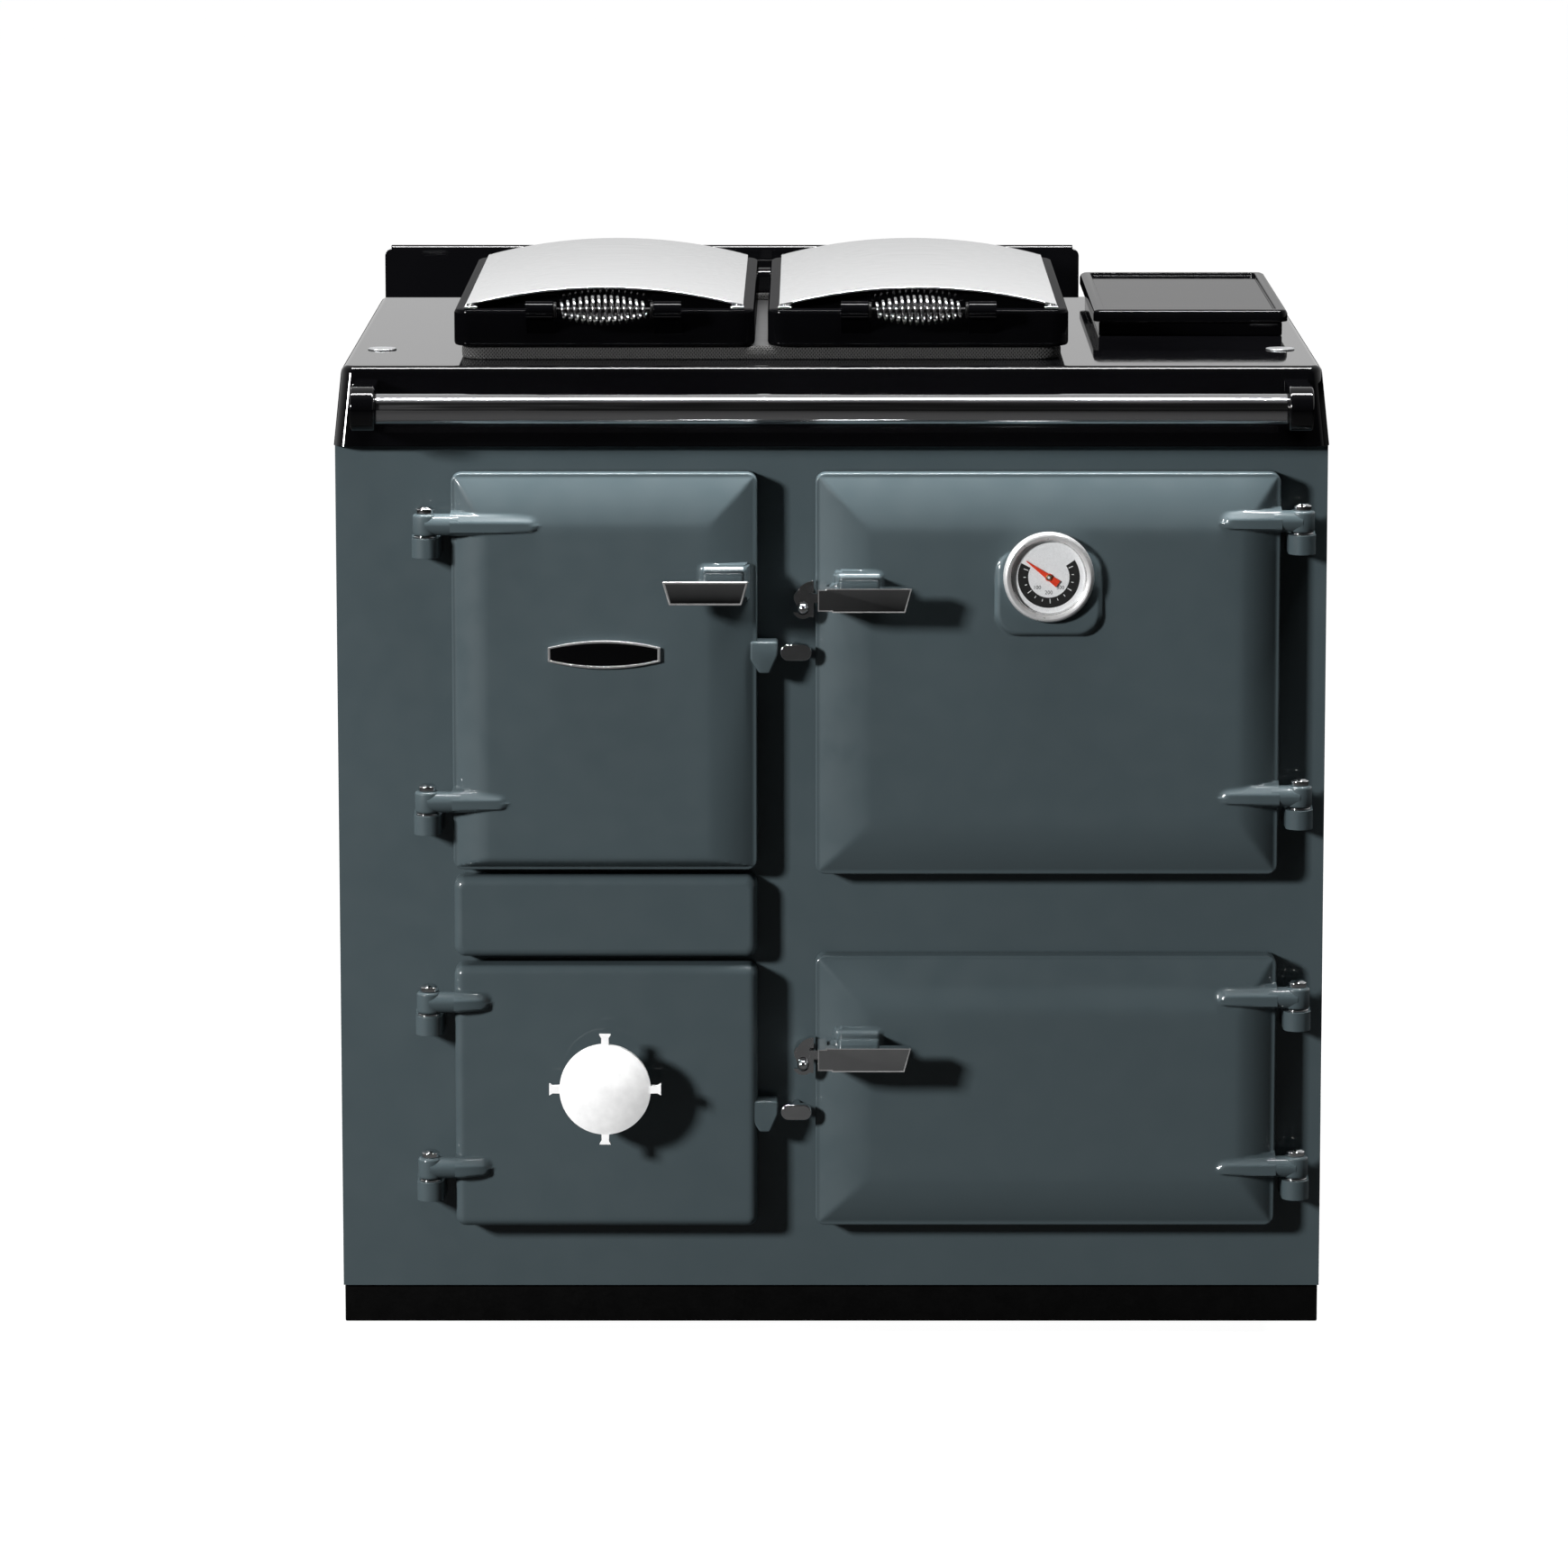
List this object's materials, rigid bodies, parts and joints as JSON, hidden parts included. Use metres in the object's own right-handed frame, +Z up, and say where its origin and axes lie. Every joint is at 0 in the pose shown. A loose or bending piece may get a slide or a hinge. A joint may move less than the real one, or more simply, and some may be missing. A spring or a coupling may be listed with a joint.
{
  "type": "range cooker",
  "caption": "Free-standing cast iron range cooker with firebox, ashpit and oven doors on lift-off hinges, a hotplate under hinged lids, a towel rail and a rear flue outlet.",
  "frame": {"origin": "on the floor, under the middle of the cooker's bounding box", "axes": "+X to the right seen from the front, +Y from the front to the back, +Z up"},
  "size_m": [0.87, 0.7209, 0.92],
  "materials": {
    "slate_enamel": "slate blue-grey gloss enamel",
    "black_enamel": "black gloss enamel",
    "black_paint": "satin black",
    "bare_iron": "as cast, matt",
    "machined_iron": "ground, oiled",
    "chrome": "mirror",
    "satin_chrome": "satin",
    "polished_steel": "polished",
    "steel": "plain",
    "galvanised_steel": "galvanised",
    "rope": "knitted glass rope",
    "firebrick": "rough fireclay",
    "insulation": "pressed board",
    "dial": "silver white with black scale",
    "needle": "red",
    "clear_glass": "clear"
  },
  "bodies": {
    "range": {"plinth": "black_paint", "base_plate": "bare_iron", "front_plate": "slate_enamel", "left_side_panel": "slate_enamel", "right_side_panel": "slate_enamel", "back_panel": "galvanised_steel", "top_plate": "black_enamel", "splashback": "black_enamel", "top_plugs": "steel", "rail_brackets": "black_enamel", "towel_rail": "polished_steel", "filler_panel": "slate_enamel", "door_hinge_lugs": "slate_enamel", "door_hinge_pins": "chrome", "latch_keepers": "chrome", "hotplate": "machined_iron", "hotplate_rope": "rope", "lid_hinge_brackets": "black_enamel", "lid_hinge_rod": "chrome", "flue_box": "black_enamel", "flue_well": "bare_iron", "flue_spigot": "bare_iron", "main_oven_box": "steel", "lower_oven_box": "steel", "oven_shelves": "chrome", "firebox_shell": "bare_iron", "ashpit_shell": "bare_iron", "firebricks": "firebrick", "grate": "bare_iron", "ash_pan": "galvanised_steel", "insulation_boards": "insulation"},
    "flue_cover": {"flue_cover": "black_enamel"},
    "firebox_door": {"firebox_door_casting": "slate_enamel", "firebox_door_liner": "bare_iron", "firebox_door_rope": "rope", "firebox_door_pull": "chrome", "door_badge": "chrome"},
    "ashpit_door": {"ashpit_door_casting": "slate_enamel", "ashpit_door_rope": "rope"},
    "air_damper": {"air_damper": "steel"},
    "spin_wheel": {"spin_wheel": "chrome"},
    "main_oven_door": {"main_door_casting": "slate_enamel", "main_door_liner": "steel", "main_door_rope": "rope", "thermometer_case": "chrome", "thermometer_dial": "dial", "thermometer_glass": "clear_glass"},
    "main_door_handle": {"main_door_handle": "chrome"},
    "thermometer_needle": {"thermometer_needle": "needle"},
    "lower_oven_door": {"lower_door_casting": "slate_enamel", "lower_door_liner": "steel", "lower_door_rope": "rope"},
    "lower_door_handle": {"lower_door_handle": "chrome"},
    "firebox_catch": {"firebox_catch": "chrome"},
    "ashpit_catch": {"ashpit_catch": "chrome"},
    "left_lid": {"left_lid_casting": "black_enamel", "left_lid_cover": "satin_chrome", "left_lid_handle": "chrome"},
    "right_lid": {"right_lid_casting": "black_enamel", "right_lid_cover": "satin_chrome", "right_lid_handle": "chrome"}
  },
  "joints": [
    {"name": "firebox_door_swing", "type": "hinge", "parent": "range", "child": "firebox_door", "pos_m": [-0.354, -0.3095, 0.6], "axis": [0, 0, -1], "range_deg": [0, 110]},
    {"name": "ashpit_door_swing", "type": "hinge", "parent": "range", "child": "ashpit_door", "pos_m": [-0.354, -0.3095, 0.224], "axis": [0, 0, -1], "range_deg": [0, 110]},
    {"name": "main_oven_door_swing", "type": "hinge", "parent": "range", "child": "main_oven_door", "pos_m": [0.41, -0.3095, 0.6], "axis": [0, 0, 1], "range_deg": [0, 110]},
    {"name": "lower_oven_door_swing", "type": "hinge", "parent": "range", "child": "lower_oven_door", "pos_m": [0.41, -0.3095, 0.224], "axis": [0, 0, 1], "range_deg": [0, 110]},
    {"name": "main_handle_lift", "type": "hinge", "parent": "main_oven_door", "child": "main_door_handle", "pos_m": [0.006, -0.3395, 0.661], "axis": [0, -1, 0], "range_deg": [0, 20]},
    {"name": "lower_handle_lift", "type": "hinge", "parent": "lower_oven_door", "child": "lower_door_handle", "pos_m": [0.006, -0.3395, 0.255], "axis": [0, -1, 0], "range_deg": [0, 20]},
    {"name": "firebox_catch_turn", "type": "hinge", "parent": "range", "child": "firebox_catch", "pos_m": [-0.031, -0.2795, 0.609], "axis": [0, -1, 0], "range_deg": [0, 90]},
    {"name": "ashpit_catch_turn", "type": "hinge", "parent": "range", "child": "ashpit_catch", "pos_m": [-0.031, -0.2795, 0.199], "axis": [0, -1, 0], "range_deg": [0, 90]},
    {"name": "air_damper_slide", "type": "slide", "parent": "ashpit_door", "child": "air_damper", "axis": [0, 1, 0], "range_m": [0, 0.008]},
    {"name": "spin_wheel_turn", "type": "hinge", "parent": "air_damper", "child": "spin_wheel", "pos_m": [-0.1985, -0.3395, 0.226], "axis": [0, 1, 0], "range_deg": [0, 720]},
    {"name": "thermometer_needle_turn", "type": "hinge", "parent": "main_oven_door", "child": "thermometer_needle", "pos_m": [0.189, -0.3195, 0.6765], "axis": [0, -1, 0], "range_deg": [0, 250]},
    {"name": "left_lid_open", "type": "hinge", "parent": "range", "child": "left_lid", "pos_m": [-0.19975, 0.2655, 0.881], "axis": [-1, 0, 0], "range_deg": [0, 90]},
    {"name": "right_lid_open", "type": "hinge", "parent": "range", "child": "right_lid", "pos_m": [0.07625, 0.2655, 0.881], "axis": [-1, 0, 0], "range_deg": [0, 90]},
    {"name": "flue_cover_lift", "type": "slide", "parent": "range", "child": "flue_cover", "axis": [0, 0, 1], "range_m": [0, 0.06]}
  ],
  "couplings": [
    {"joint": "air_damper_slide", "follows": "spin_wheel_turn", "m_per_rad": 0.00063656}
  ]
}
